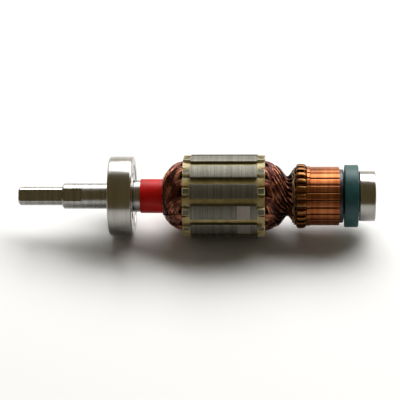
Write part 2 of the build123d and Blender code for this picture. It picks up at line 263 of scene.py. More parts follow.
def newGroup(name, inputs, outputs):
    # a shader node group with named sockets: each is (name, socket type, default)
    group = bpy.data.node_groups.new(name, "ShaderNodeTree")
    for label, kind, default in inputs:
        socket = group.interface.new_socket(label, in_out="INPUT", socket_type=kind)
        if default is not None:
            socket.default_value = default
    for label, kind in outputs:
        group.interface.new_socket(label, in_out="OUTPUT", socket_type=kind)
    return group, group.nodes.new("NodeGroupInput"), group.nodes.new("NodeGroupOutput")


def addNoise(tree, vector, scale, detail):
    # a noise read at a vector, about 0.5
    inputs = {"Vector": vector, "Scale": scale, "Detail": detail}
    return addNode(tree, "ShaderNodeTexNoise", inputs).outputs[0]


def objectCoordinates(tree, stretch=None):
    # Object coordinates, stretched by a Mapping node where a stretch is given
    place = addNode(tree, "ShaderNodeTexCoord").outputs["Object"]
    if stretch:
        place = addNode(tree, "ShaderNodeMapping", {"Vector": place, "Scale": stretch}).outputs[0]
    return place


surface = {                  # per metre, so that 1000 gives marks about a millimetre wide
    "fineRings": (5200, 60, 60),
    "broadRings": (700, 45, 45),
    "coarseGrain": 260.0,
    "wornPatches": 420.0,
    "wornEdges": (0.52, 0.62),                                 # pointiness where wear starts, and where it is full
}


def makeTurningGroup():
    # rings left by a cutting tool: noise read mostly along the shaft, as a height and a mask
    group, given, made = newGroup(
        "turningMarks",
        [("Fineness", "NodeSocketFloat", 1.0)],
        [("Height", "NodeSocketFloat"), ("Mask", "NodeSocketFloat")],
    )
    fine = addNoise(group, objectCoordinates(group, surface["fineRings"]), given.outputs[0], 3.0)
    broad = addNoise(group, objectCoordinates(group, surface["broadRings"]), 1.0, 4.0)
    group.links.new(fine, made.inputs["Height"])
    group.links.new(broad, made.inputs["Mask"])
    return group


def makeGrainGroup():
    # an even speckle at one size: two noises, fine and coarse, as a height and a mask
    group, given, made = newGroup(
        "fineGrain",
        [("Size", "NodeSocketFloat", 1000.0)],
        [("Height", "NodeSocketFloat"), ("Mask", "NodeSocketFloat")],
    )
    place = objectCoordinates(group)
    group.links.new(addNoise(group, place, given.outputs[0], 4.0), made.inputs["Height"])
    group.links.new(addNoise(group, place, surface["coarseGrain"], 5.0), made.inputs["Mask"])
    return group


def makeWearGroup():
    # rubbed edges: how sharply the surface turns, times a noise and an amount
    group, given, made = newGroup(
        "edgeWear",
        [("Amount", "NodeSocketFloat", 1.0)],
        [("Mask", "NodeSocketFloat")],
    )
    pointed = addNode(group, "ShaderNodeNewGeometry").outputs["Pointiness"]
    start, full = surface["wornEdges"]
    rise = addNode(group, "ShaderNodeMapRange", {"Value": pointed, "From Min": start, "From Max": full})
    patchy = addNoise(group, objectCoordinates(group), surface["wornPatches"], 4.0)
    broken = addNode(group, "ShaderNodeMath", {0: rise.outputs[0], 1: patchy}, operation="MULTIPLY")
    scaled = addNode(group, "ShaderNodeMath", {0: broken.outputs[0], 1: given.outputs[0]}, operation="MULTIPLY")
    scaled.use_clamp = True
    group.links.new(scaled.outputs[0], made.inputs["Mask"])
    return group


turningMarks = makeTurningGroup()
fineGrain = makeGrainGroup()
edgeWear = makeWearGroup()


bands = {                    # ranges of a noise that are spread over a whole change: a narrow one gives more contrast
    "gentle": (0.25, 0.75),
    "even": (0.30, 0.70),
    "streaky": (0.32, 0.68),
    "clear": (0.35, 0.65),
    "patchy": (0.46, 0.62),
    "wires": (0.15, 0.95),   # not a noise: the tints that the wires carry
}
bumpDepth = {"turned": 0.02, "grained": 0.03}
rubbedBrighter = 1.25        # how much brighter a rubbed metal edge is


def placeGroup(tree, group, inputs):
    # one use of a node group, with its input values
    node = tree.nodes.new("ShaderNodeGroup")
    node.node_tree = group
    for key, value in inputs.items():
        node.inputs[key].default_value = value
    return node


def blendColour(tree, factor, first, second):
    # a colour between two, by a factor that varies over the surface
    node = tree.nodes.new("ShaderNodeMix")
    node.data_type = "RGBA"
    tree.links.new(factor, node.inputs["Factor"])
    for socket, value in ((node.inputs[6], first), (node.inputs[7], second)):
        if isinstance(value, bpy.types.NodeSocket):
            tree.links.new(value, socket)
        else:
            socket.default_value = (*value, 1.0)
    return node.outputs[2]


def remap(tree, value, band, toLow=0.0, toHigh=1.0):
    # a straight change of range, held at both ends
    return addNode(
        tree, "ShaderNodeMapRange",
        {"Value": value, "From Min": band[0], "From Max": band[1], "To Min": toLow, "To Max": toHigh},
    ).outputs[0]


def attributeMask(tree):
    # the piece's own "tint" attribute, from 0 to 1
    return addNode(tree, "ShaderNodeAttribute", attribute_name="tint").outputs["Fac"]


def finishSurface(tree, shader, colour, rough, height, strength, depth):
    # what every material ends with: its colour, its roughness and a bump
    bump = addNode(tree, "ShaderNodeBump", {"Height": height, "Strength": strength, "Distance": depth * mm})
    for socket, value in (("Base Color", colour), ("Roughness", rough), ("Normal", bump.outputs[0])):
        tree.links.new(value, shader.inputs[socket])


def turnedMetal(name, dark, light, roughness, spread, marks, fineness=1.0, wear=0.5, tinted=None):
    # bare turned metal: tone and roughness drift in rings, and edges are rubbed brighter; tinted parts are duller
    material, tree, shader = newMaterial(name, Metallic=1.0)
    turning = placeGroup(tree, turningMarks, {"Fineness": fineness})
    worn = placeGroup(tree, edgeWear, {"Amount": wear})
    ground = blendColour(tree, remap(tree, turning.outputs["Mask"], bands["even"]), dark, light)
    if tinted:
        ground = blendColour(tree, attributeMask(tree), ground, tinted)
    bright = tuple(min(1.0, c * rubbedBrighter) for c in light)
    colour = blendColour(tree, worn.outputs["Mask"], ground, bright)
    height = turning.outputs["Height"]
    rough = remap(tree, height, bands["gentle"], roughness - spread, roughness + spread)
    finishSurface(tree, shader, colour, rough, height, marks, bumpDepth["turned"])
    return material


def grainedSolid(name, dark, light, roughness, spread, size, bump, wornColour=None, wear=0.5, panel=None, **sockets):
    # a coloured solid with a speckle and a drift of tone; its edges may be rubbed, or a bare panel marked by tint
    material, tree, shader = newMaterial(name, **sockets)
    grain = placeGroup(tree, fineGrain, {"Size": size})
    colour = blendColour(tree, remap(tree, grain.outputs["Mask"], bands["clear"]), dark, light)
    if wornColour:
        worn = placeGroup(tree, edgeWear, {"Amount": wear})
        colour = blendColour(tree, worn.outputs["Mask"], colour, wornColour)
    if panel:
        colour = blendColour(tree, attributeMask(tree), colour, panel)
    height = grain.outputs["Height"]
    rough = remap(tree, height, bands["even"], roughness - spread, roughness + spread)
    finishSurface(tree, shader, colour, rough, height, bump, bumpDepth["grained"])
    return material


def groundLaminations(name, dark, light, balanced, roughness, spread, fineness, size, drift, marks):
    # edges of laminations ground together: fine streaks, and a paler even tone where the stack was balanced
    material, tree, shader = newMaterial(name, Metallic=1.0)
    turning = placeGroup(tree, turningMarks, {"Fineness": fineness})
    grain = placeGroup(tree, fineGrain, {"Size": size})
    height = turning.outputs["Height"]
    ground = blendColour(tree, remap(tree, height, bands["streaky"]), dark, light)
    ground = blendColour(tree, remap(tree, grain.outputs["Mask"], bands["even"], 0.0, drift), ground, dark)
    colour = blendColour(tree, attributeMask(tree), ground, balanced)
    rough = remap(tree, turning.outputs["Mask"], bands["even"], roughness - spread, roughness + spread)
    finishSurface(tree, shader, colour, rough, height, marks, bumpDepth["turned"])
    return material


def varnishedWire(name, deep, red, copper, roughness, spread, size, patchSize, bump, **sockets):
    # each wire has its own tone, and rubbed patches among them show brighter copper through the varnish
    material, tree, shader = newMaterial(name, **sockets)
    grain = placeGroup(tree, fineGrain, {"Size": size})
    broad = placeGroup(tree, fineGrain, {"Size": patchSize})
    wire = attributeMask(tree)
    colour = blendColour(tree, remap(tree, wire, bands["wires"]), deep, red)
    patch = remap(tree, broad.outputs["Mask"], bands["patchy"])
    rubbed = addNode(tree, "ShaderNodeMath", {0: patch, 1: wire}, operation="MULTIPLY").outputs[0]
    height = grain.outputs["Height"]
    rough = remap(tree, height, bands["even"], roughness - spread, roughness + spread)
    finishSurface(tree, shader, blendColour(tree, rubbed, colour, copper), rough, height, bump, bumpDepth["grained"])
    return material


print("node groups made")

shaftSteel = turnedMetal(
    "shaftSteel", (0.24, 0.235, 0.22), (0.36, 0.355, 0.335), roughness=0.27, spread=0.05, marks=0.10, wear=0.6
)
bearingSteel = turnedMetal(
    "bearingSteel", (0.30, 0.29, 0.265), (0.37, 0.36, 0.335), roughness=0.20, spread=0.04, marks=0.08,
    fineness=1.6, wear=0.4,
)
shieldSteel = turnedMetal(
    "shieldSteel", (0.34, 0.33, 0.305), (0.45, 0.44, 0.415), roughness=0.30, spread=0.06, marks=0.15,
    fineness=0.7, wear=0.3,
)
cageSteel = turnedMetal(
    "cageSteel", (0.38, 0.36, 0.33), (0.48, 0.46, 0.43), roughness=0.35, spread=0.05, marks=0.2, wear=0.3
)
laminationSteel = groundLaminations(
    "laminationSteel", (0.105, 0.100, 0.080), (0.185, 0.180, 0.155), balanced=(0.235, 0.215, 0.185),
    roughness=0.54, spread=0.05, fineness=0.42, size=900.0, drift=0.35, marks=0.25,
)
insulatorBoard = grainedSolid(
    "insulatorBoard", (0.34, 0.28, 0.12), (0.54, 0.46, 0.24), roughness=0.5, spread=0.1, size=1500.0, bump=0.3,
    panel=(0.09, 0.085, 0.05),
)
slotPaper = grainedSolid(
    "slotPaper", (0.27, 0.20, 0.06), (0.44, 0.34, 0.13), roughness=0.40, spread=0.08, size=1800.0, bump=0.2
)
enamelledCopper = varnishedWire(
    "enamelledCopper", (0.018, 0.004, 0.002), (0.120, 0.020, 0.008), (0.66, 0.26, 0.14), roughness=0.43, spread=0.08,
    size=1100.0, patchSize=260.0, bump=0.12, Metallic=0.85, Coat_Weight=0.12, Coat_Roughness=0.2,
)
lacingCord = grainedSolid(
    "lacingCord", (0.09, 0.05, 0.012), (0.38, 0.25, 0.065), roughness=0.6, spread=0.1, size=2600.0, bump=0.5
)
redSleeve = grainedSolid(
    "redSleeve", (0.37, 0.003, 0.002), (0.53, 0.006, 0.004), roughness=0.40, spread=0.06, size=700.0, bump=0.06,
    Specular_IOR_Level=0.16,
)
phenolicMoulding = grainedSolid(
    "phenolicMoulding", (0.008, 0.008, 0.010), (0.020, 0.021, 0.026), roughness=0.38, spread=0.08, size=1200.0,
    bump=0.15, wornColour=(0.06, 0.06, 0.065),
)
commutatorCopper = turnedMetal(
    "commutatorCopper", (0.19, 0.053, 0.018), (0.32, 0.110, 0.039), roughness=0.36, spread=0.08, marks=0.4,
    tinted=(0.17, 0.075, 0.022),
)
tealPlastic = grainedSolid(
    "tealPlastic", (0.007, 0.046, 0.045), (0.012, 0.070, 0.068), roughness=0.44, spread=0.06, size=900.0, bump=0.12,
    wornColour=(0.06, 0.20, 0.21), wear=0.4, Specular_IOR_Level=0.3,
)
print("materials made")


# Camera, lamp, world and floor

view = {
    "elevation": 38.8,       # degrees
    "swing": 2.9,
    "distance": 643.0,
    "lens": 153.0,
    "sensor": 36.0,
    "clip": (0.01, 20.0),    # metres
    "targetX": 29.5,         # station at the middle of the picture
    "drop": 1.5,             # how far the middle of the picture lies below the shaft
}


def makeCamera():
    # looks along the line that the photograph was taken on
    e, s = np.radians(view["elevation"]), np.radians(view["swing"])
    back = Vector((np.sin(s), -np.cos(s) * np.cos(e), np.cos(s) * np.sin(e)))
    right = (Vector((1, 0, 0)) - back * back.x).normalized()
    up = back.cross(right)
    data = bpy.data.cameras.new("photoCamera")
    data.lens, data.sensor_width = view["lens"], view["sensor"]
    data.clip_start, data.clip_end = view["clip"]
    camera = addObject("photoCamera", data)
    target = Vector((view["targetX"], 0, 0)) - up * view["drop"]
    place = (target + back * view["distance"]) * mm
    camera.matrix_world = Matrix.Translation(place) @ Matrix((right, up, back)).transposed().to_4x4()
    bpy.context.scene.camera = camera


studio = {                   # lengths in metres and angles in degrees
    "lampPower": 35.0,
    "lampWidth": 1.7,
    "lampHeight": 0.95,
    "lampDistance": 1.3,
    "lampElevation": 50.0,
    "lampAside": 0.30,       # share of the distance that the lamp stands towards the commutator
    "cardEdge": 109.0,       # where the dark card ends, counted from the viewer's horizon up and over the top
    "cardSoftness": (-0.06, 0.10),                             # across that edge, from card to window
    "horizonBand": (0.02, 0.45),                               # height over which the horizon turns to window
    "sideBand": (0.55, 0.85),                                  # share of X over which the window turns to card
    "cardColour": (0.15, 0.115, 0.052),
    "windowColour": (1.0, 0.99, 0.96),
    "horizonColour": (0.95, 0.87, 0.72),
    "frontFill": (0.085, 0.078, 0.062),
    "backFill": (0.60, 0.57, 0.50),
    "floorColour": (0.80, 0.80, 0.80, 1.0),
    "floorRoughness": 0.9,
    "floorHalf": 3.0,
}


def makeLamp():
    # a large soft lamp behind and above the part, so that its shadow falls towards the viewer
    e = np.radians(studio["lampElevation"])
    data = bpy.data.lights.new("softLamp", "AREA")
    data.shape, data.energy = "RECTANGLE", studio["lampPower"]
    data.size, data.size_y = studio["lampWidth"], studio["lampHeight"]
    lamp = addObject("softLamp", data)
    place = Vector((studio["lampAside"], np.cos(e), np.sin(e))) * studio["lampDistance"]
    lamp.location = place
    lamp.rotation_euler = place.to_track_quat("Z", "Y").to_euler()


def makeWorld():
    # white to the camera; for all else a bright window side that dims to the horizon and a dark viewer's side
    world = bpy.data.worlds.new("studioWorld")
    bpy.context.scene.world = world
    world.use_nodes = True
    tree = world.node_tree
    tree.nodes.clear()
    path = addNode(tree, "ShaderNodeLightPath")
    direction = addNode(tree, "ShaderNodeTexCoord").outputs["Generated"]
    edge = np.radians(studio["cardEdge"])
    across = addNode(
        tree, "ShaderNodeVectorMath", {0: direction, 1: (0.0, np.sin(edge), np.cos(edge))}, operation="DOT_PRODUCT"
    )
    beyond = remap(tree, across.outputs["Value"], studio["cardSoftness"])
    parts = addNode(tree, "ShaderNodeSeparateXYZ", {"Vector": direction})
    height = remap(tree, parts.outputs["Z"], studio["horizonBand"])
    window = blendColour(tree, height, studio["horizonColour"], studio["windowColour"])
    aside = addNode(tree, "ShaderNodeMath", {0: parts.outputs["X"]}, operation="ABSOLUTE").outputs[0]
    facing = remap(tree, aside, studio["sideBand"], 1.0, 0.0)
    ahead = addNode(tree, "ShaderNodeMath", {0: beyond, 1: facing}, operation="MULTIPLY").outputs[0]
    gloss = blendColour(tree, ahead, studio["cardColour"], window)
    soft = blendColour(tree, beyond, studio["frontFill"], studio["backFill"])
    fill, card, white = (
        addNode(tree, "ShaderNodeBackground", {"Color": colour, "Strength": 1.0}).outputs[0]
        for colour in (soft, gloss, (1, 1, 1, 1))
    )
    first = addNode(tree, "ShaderNodeMixShader", {0: path.outputs["Is Glossy Ray"], 1: fill, 2: card})
    seen = addNode(tree, "ShaderNodeMath", {
        0: path.outputs["Is Camera Ray"], 1: path.outputs["Is Transmission Ray"]}, operation="MAXIMUM")
    second = addNode(tree, "ShaderNodeMixShader", {0: seen.outputs[0], 1: first.outputs[0], 2: white})
    out = addNode(tree, "ShaderNodeOutputWorld")
    tree.links.new(second.outputs[0], out.inputs["Surface"])


def makeFloor():
    # a pale floor that takes the part's shadow
    low, half = cadBox[0].z, studio["floorHalf"]
    corners = [(-half, -half, low), (half, -half, low), (half, half, low), (-half, half, low)]
    mesh = bpy.data.meshes.new("floor")
    mesh.from_pydata(corners, [], [(0, 1, 2, 3)])
    floor = addObject("floor", mesh)
    material, _, _ = newMaterial("paleFloor", Base_Color=studio["floorColour"], Roughness=studio["floorRoughness"])
    mesh.materials.append(material)


makeCamera()
makeLamp()
makeWorld()
makeFloor()
bpy.context.scene.view_settings.view_transform = "Standard"
print("camera, lamp, world and floor made")


# Shaft

shaft = {
    "flatAngle": 135.0,      # direction of the flats, from +Y towards +Z
    "tipLength": 16.8,
    "tipRadius": 3.5,
    "tipFlat": 2.75,         # from the axis to a flat
    "journalRadius": 4.825,
    "journalFlat": 4.2,
    "journalFlatLength": 7.5,
    "seatRadius": 5.0,
    "tailRadius": 3.5,
    "chamfer": 0.6,
    "tipEdge": ((0.0, 0.25), (0.12, 0.12), (0.3, 0.0)),        # (distance from the end, fall of the flat)
    "journalEdge": ((0.0, 0.2), (0.08, 0.04), (0.2, 0.0)),
    "rootFillet": (0.15, 0.12),                                # along the shaft, and outwards
    "runOut": 0.1,                                             # where the journal's flats end
    "coreEdge": 0.2,
    "tailEdge": ((0.3, 0.0), (0.08, 0.22), (0.0, 0.4)),        # (distance from the end, fall of the radius)
    "sides": 192,
}


def flattenedEnd(start, radius, flat, edge):
    # a cone at 45 degrees to the full radius, with its flats drawn in at the edge
    c = shaft["chamfer"]
    return [(start + d, radius - c + d, flat - fall) for d, fall in edge] + [(start + c, radius, flat)]


def makeShaft():
    # radius at a station, cut at each angle to the distance of a flat over the cosine from the flat's direction
    s = shaft
    seatStart, coreStart, _, _ = reach("drive_bearing_inner_ring")
    tailStart = reach("tail_bearing_inner_ring")[0]
    journalStart = shaftStart + s["tipLength"]
    flatEnd = journalStart + s["journalFlatLength"]
    along, outwards = s["rootFillet"]
    noFlat = 90.0            # beyond every radius
    stations = np.array([
        *flattenedEnd(shaftStart, s["tipRadius"], s["tipFlat"], s["tipEdge"]),
        (journalStart - along, s["tipRadius"], s["tipFlat"]),
        (journalStart, s["tipRadius"] + outwards, s["tipFlat"] + outwards),
        *flattenedEnd(journalStart, s["journalRadius"], s["journalFlat"], s["journalEdge"]),
        (flatEnd - s["runOut"], s["journalRadius"], s["journalFlat"]),
        (flatEnd, s["journalRadius"], s["journalFlat"] + s["runOut"]),
        (flatEnd + s["runOut"] * 0.2, s["journalRadius"], noFlat),
        (seatStart, s["journalRadius"], noFlat),
        (seatStart, s["seatRadius"], noFlat),
        (coreStart, s["seatRadius"], noFlat),
        (coreStart, coreRadius - s["coreEdge"], noFlat),
        (coreStart + s["coreEdge"], coreRadius, noFlat),
        (commStart, coreRadius, noFlat),
        (commStart, s["seatRadius"], noFlat),
        (mouldEnd, s["seatRadius"], noFlat),
        (mouldEnd, ringBore, noFlat),
        (tailStart, ringBore, noFlat),
        (tailStart, s["tailRadius"], noFlat),
        *((shaftEnd - d, s["tailRadius"] - fall, noFlat) for d, fall in s["tailEdge"]),
    ])
    flat = np.radians(s["flatAngle"])
    edges = [np.arccos(s["tipFlat"] / s["tipRadius"]), np.arccos(s["journalFlat"] / s["journalRadius"])]
    exact = np.concatenate([[k * np.pi + a, k * np.pi - a] for k in (0, 1) for a in edges])
    even = np.arange(s["sides"]) / s["sides"] * 2 * np.pi
    angle = np.unique(np.round(np.concatenate([even, exact % (2 * np.pi)]), 6))
    x, radius, cut = (column[:, None] for column in stations.T)
    limit = cut / np.maximum(np.abs(np.cos(angle))[None, :], 1e-6)
    grid = aroundShaft(x, np.minimum(radius, limit), angle[None, :] + flat)
    makePiece("turned_shaft", [sweptShell(grid)], shaftSteel, ["shaft"], sharpDegrees=28)


makeShaft()
print("shaft made")


# Bearings

bearing = {
    "rim": 0.6,              # rounding of the drive bearing's outer rims
    "rimScales": {"drive_bearing": 1.0, "tail_bearing": 0.67},
    "boreRound": 0.25,
    "landRound": 0.15,
    "seatRound": 0.12,
    "grooveRound": 0.05,     # rounding of the corners behind the shields
    "shieldStep": 0.14,      # height of the ring pressed into the shield
    "shieldRound": 0.045,
    "pressed": ((1, 0.0), (1, 0.16), (0, 0.26)),       # (share of the step, share of the width from the hole)
    "raised": ((0, 0.30), (1, 0.20)),                  # (share of the step, share of the width from the seat)
    "hem": ((1.0, 0.22), (0.2, 0.1), (0.2, 0.0)),      # (share of the step, distance from the seat)
    "sides": 192,
}


def makeBearing(prefix, outerBody):
    # rings as rounded outlines carried round the shaft, with a recess for a shield pressed to a shallow step
    b = bearing
    start, end, landRadius, outerRadius = reach(f"{prefix}_outer_ring")
    _, _, boreRadius, innerLand = reach(f"{prefix}_inner_ring")
    shieldOut = reach(f"{prefix}_shield_outboard")
    shieldIn = reach(f"{prefix}_shield_inboard")
    seat, hole = shieldOut[3], shieldOut[2]
    rim = b["rim"] * b["rimScales"][prefix]
    outer = roundedOutline(
        [(start, seat), (start, outerRadius), (end, outerRadius), (end, seat), (shieldIn[0], seat),
         (shieldIn[0], landRadius), (shieldOut[1], landRadius), (shieldOut[1], seat)],
        [b["seatRound"], rim, rim, b["seatRound"], *[b["grooveRound"]] * 4], 7,
    )
    makePiece(f"{prefix}_race_outer", [lathe(outer, b["sides"])], bearingSteel,
              [f"{prefix}_outer_ring"], outerBody)
    inner = roundedOutline(
        [(start, boreRadius), (start, innerLand), (end, innerLand), (end, boreRadius)],
        [b["boreRound"], b["landRound"], b["landRound"], b["boreRound"]], 6,
    )
    makePiece(f"{prefix}_race_inner", [lathe(inner, b["sides"])], bearingSteel,
              [f"{prefix}_inner_ring"])
    width = seat - hole
    for side, face, back, step in (
        ("outboard", shieldOut[0], shieldOut[1], b["shieldStep"]),
        ("inboard", shieldIn[1], shieldIn[0], -b["shieldStep"]),
    ):
        front = [(face + step * part, hole + width * share) for part, share in b["pressed"]]
        front += [(face + step * part, seat - width * share) for part, share in b["raised"]]
        front += [(face + step * part, seat - inwards) for part, inwards in b["hem"]]
        outline = roundedOutline(front + [(back, seat), (back, hole)], b["shieldRound"], 4)
        makePiece(f"{prefix}_pressed_shield_{side}", [lathe(outline, b["sides"])], shieldSteel,
                  [f"{prefix}_shield_{side}"], outerBody)


def dressNode(node, material):
    # a node of the frame that is shown as it is, in one material
    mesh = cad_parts[node].data
    mesh.materials.clear()
    mesh.materials.append(material)


for prefix in bearing["rimScales"]:
    makeBearing(prefix, f"{prefix}_outer")
    dressNode(f"{prefix}_balls", bearingSteel)
    dressNode(f"{prefix}_cage", cageSteel)
print("bearings made")


# Sleeve and spacer ring, with the moulding shown as it is

turnedParts = {
    "sleeveRound": 0.12,
    "ringRound": 0.45,
    "bossRadius": 4.75,
    "bossRound": 0.1,
    "ringFrontGap": 0.4,     # from the boss's face to the ring's
    "ringBackGap": 0.35,
}


def makeTurnedParts():
    # rounded outlines carried round the shaft: a plain tube, and a ring on a boss a little longer than it
    t = turnedParts
    sleeve = [(sleeveStart, coreRadius), (sleeveStart, sleeveRadius), (frontStart, sleeveRadius),
              (frontStart, coreRadius)]
    makePiece("shaft_sleeve", [lathe(roundedOutline(sleeve, t["sleeveRound"]))], redSleeve,
              ["insulating_sleeve"])
    start, end, bore, outer = reach("spacer_ring")
    front, back = start + t["ringFrontGap"], end - t["ringBackGap"]
    ring = [(start, bore), (start, t["bossRadius"]), (front, t["bossRadius"]), (front, outer), (back, outer),
            (back, t["bossRadius"]), (end, t["bossRadius"]), (end, bore)]
    rounds = [t["bossRound"]] * 3 + [t["ringRound"]] * 2 + [t["bossRound"]] * 3
    makePiece("teal_spacer", [lathe(roundedOutline(ring, rounds, 6))], tealPlastic, ["spacer_ring"])


makeTurnedParts()
dressNode("commutator_moulding", phenolicMoulding)
print("turned parts made")


# Lamination stack

stack = {
    "slots": 12,
    "slotOpening": 2.55,
    "slotBottom": 8.8,
    "toothWidth": 3.0,
    "tipThickness": 1.0,
    "shoeSlope": 0.5,
    "laminations": 50,
    "groove": 0.03,
    "grooveShare": 0.14,     # part of a lamination's thickness that its rounded edges take
    "unevenness": 0.005,
    "deepest": 0.04,         # most that one lamination lies below the rest
    "tipRound": 0.05,
    "flatAngles": (165.0, 195.0),                              # of the balance flats, from +Y towards +Z
    "flatDepth": 0.25,
    "flatLength": 5.0,
    "flatInset": 2.5,        # from the commutator end of the stack
    "boreSides": 72,
}
pitch = 2 * np.pi / stack["slots"]


def halfWidth(radius, count, wall):
    # half the gap at a radius between two of count radial walls of even thickness
    halfPitch = np.pi / count
    return radius * np.tan(halfPitch) - wall / 2 / np.cos(halfPitch)


def stackOutline():
    # one slot from its bottom to the tooth beside it, then turned to all places; (y, z) with the inner way in
    s = stack
    tipRadius = stackRadius - s["tipThickness"]
    shoeRadius = tipRadius - s["shoeSlope"]
    bottomHalf = halfWidth(s["slotBottom"], s["slots"], s["toothWidth"])
    shoeHalf = halfWidth(shoeRadius, s["slots"], s["toothWidth"])
    opening = s["slotOpening"] / 2
    sag = bottomHalf * np.sin(np.pi / s["slots"])
    t = np.linspace(-1, 1, 5)
    bottom = np.stack([s["slotBottom"] - sag * (1 - t ** 2), t * bottomHalf], -1)
    cornerRadius = np.sqrt(stackRadius ** 2 - opening ** 2)
    side = np.array([
        (shoeRadius, shoeHalf), (tipRadius, opening), (cornerRadius - s["tipRound"], opening),
        (cornerRadius - s["tipRound"] * 0.3, opening + s["tipRound"] * 0.3),
    ])
    edgeAngle = np.arctan2(opening + s["tipRound"], cornerRadius)
    sweep = np.linspace(edgeAngle, pitch - edgeAngle, 11)
    tip = np.stack([stackRadius * np.cos(sweep), stackRadius * np.sin(sweep)], -1)
    turn = np.array([[np.cos(pitch), np.sin(pitch)], [-np.sin(pitch), np.cos(pitch)]])
    nextSide = (side * [1, -1])[::-1] @ turn
    one = np.concatenate([bottom, side, tip, nextSide])
    angles = np.arange(s["slots"]) * pitch
    turns = np.stack([np.cos(angles), np.sin(angles), -np.sin(angles), np.cos(angles)], -1).reshape(-1, 2, 2)
    return np.concatenate([one @ m for m in turns])


def makeStack():
    # the outline carried along the shaft, drawn in by a groove at each joint between two laminations, and cut flat
    # where the stack was balanced
    s = stack
    outline = stackOutline()
    ahead = unit(np.roll(outline, -1, 0) - np.roll(outline, 1, 0))
    normal = np.stack([ahead[:, 1], -ahead[:, 0]], -1)
    thick = (stackEnd - stackStart) / s["laminations"]
    k = np.arange(s["laminations"])[:, None]
    x = stackStart + thick * (k + np.array([[0.0, s["grooveShare"], 1 - s["grooveShare"]]]))
    uneven = rng.normal(0, s["unevenness"], (s["laminations"], 1)).clip(-s["deepest"], 0)
    inset = np.concatenate([np.full((s["laminations"], 1), -s["groove"]), uneven, uneven], 1)
    x = np.append(x.ravel(), stackEnd)
    inset = np.append(inset.ravel(), -s["groove"])
    place = outline[None] + normal[None] * inset[:, None, None]
    middle = stackEnd - s["flatInset"] - s["flatLength"] / 2
    inside = (np.abs(x - middle) < s["flatLength"] / 2 + 0.01)[:, None]
    balanced = np.zeros(place.shape[:2])
    for angle in np.radians(s["flatAngles"]):
        way = np.array([np.cos(angle), np.sin(angle)])
        over = (place @ way - stackRadius + s["flatDepth"]).clip(0) * inside
        place = place - over[..., None] * way
        balanced = np.maximum(balanced, over > 0)
    grid = np.concatenate([np.broadcast_to(x[:, None, None], (*place.shape[:2], 1)), place], -1)
    rows, columns = grid.shape[:2]
    sides = s["boreSides"]
    boreAngle = np.arange(sides) / sides * 2 * np.pi
    bore = np.stack([coreRadius * np.cos(boreAngle), coreRadius * np.sin(boreAngle)], -1)
    boreGrid = np.stack([np.column_stack([np.full(sides, end), bore]) for end in (stackStart, stackEnd)])
    points = np.concatenate([grid.reshape(-1, 3), boreGrid.reshape(-1, 3)])
    base = rows * columns
    capPoints = [[Vector((*p, 0)) for p in place[0]], [Vector((*p, 0)) for p in bore]]
    triangles = np.array(tessellate_polygon(capPoints))
    first = np.where(triangles < columns, triangles, triangles - columns + base)
    last = np.where(triangles < columns, triangles + (rows - 1) * columns, triangles - columns + base + sides)
    outer = quadGrid(rows, columns, False, True)
    inner = quadGrid(2, sides, False, True)[:, ::-1] + base
    faces = [outer, inner, *alignCaps(points, first, last, outer)]
    tint = np.concatenate([balanced.ravel(), np.zeros(2 * sides)])
    makePiece("laminated_stack", [(points, faces, tint)], laminationSteel, ["lamination_stack"],
              sharpDegrees=40)


def alignCaps(points, first, last, walls):
    # caps wound to match the walls: the first looks back along the shaft, the last ahead, if the walls face out
    a, b, c = (points[walls[:, k]] for k in range(3))
    outward = np.einsum("ij,ij->", np.cross(b - a, c - a), a * [0, 1, 1]) > 0
    made = []
    for cap, ahead in ((first, -1), (last, 1)):
        p, q, r = (points[cap[:, k]] for k in range(3))
        facing = np.cross(q - p, r - p)[:, 0]
        wrong = facing * ahead < 0 if outward else facing * ahead > 0
        made.append(np.where(wrong[:, None], cap[:, ::-1], cap))
    return made


makeStack()
print("lamination stack made")


# End insulators, with a framed finger over each tooth

insulation = {
    "fingerWidth": 2.55,
    "fingerRound": 0.3,
    "leastRound": 0.08,
    "rootDepth": 1.0,        # how far a finger reaches into the hub
    "rim": ((0.22, 0.0), (0.07, 0.05), (0.0, 0.2)),    # (below the finger's end, drawn in)
    "frame": 0.3,            # width of the pale frame round a finger's end
    "panelSlope": 0.06,
    "panelDepth": 0.12,
    "panelMiddle": 0.1,
    "hubRadius": 8.45,
    "hubRound": 0.15,
    "wedgeThickness": 0.42,
    "wedgeArch": 0.42,
    "wedgeGap": 0.03,        # from a wedge to the tooth beside it
    "wedgeSeat": 0.25,       # height above its inner side where a wedge meets the teeth
    "wedgeFlare": 0.62,
    "flarePower": 1.6,
    "flareLength": 3.2,
    "edgeLift": 0.35,        # share of the flare at the middle of a wedge
    "overlap": 0.8,          # how far the closer stations at a wedge's ends reach into the stack
    "crowding": 0.8,         # power that spaces them
    "endNarrowing": 0.32,    # share by which a wedge's ends are narrower than its middle
}


def roundedBox(low, high, radius, steps=4):
    # outline of a rounded rectangle between two corners
    corners = [(low[0], low[1]), (high[0], low[1]), (high[0], high[1]), (low[0], high[1])]
    return roundedOutline(corners, radius, steps)


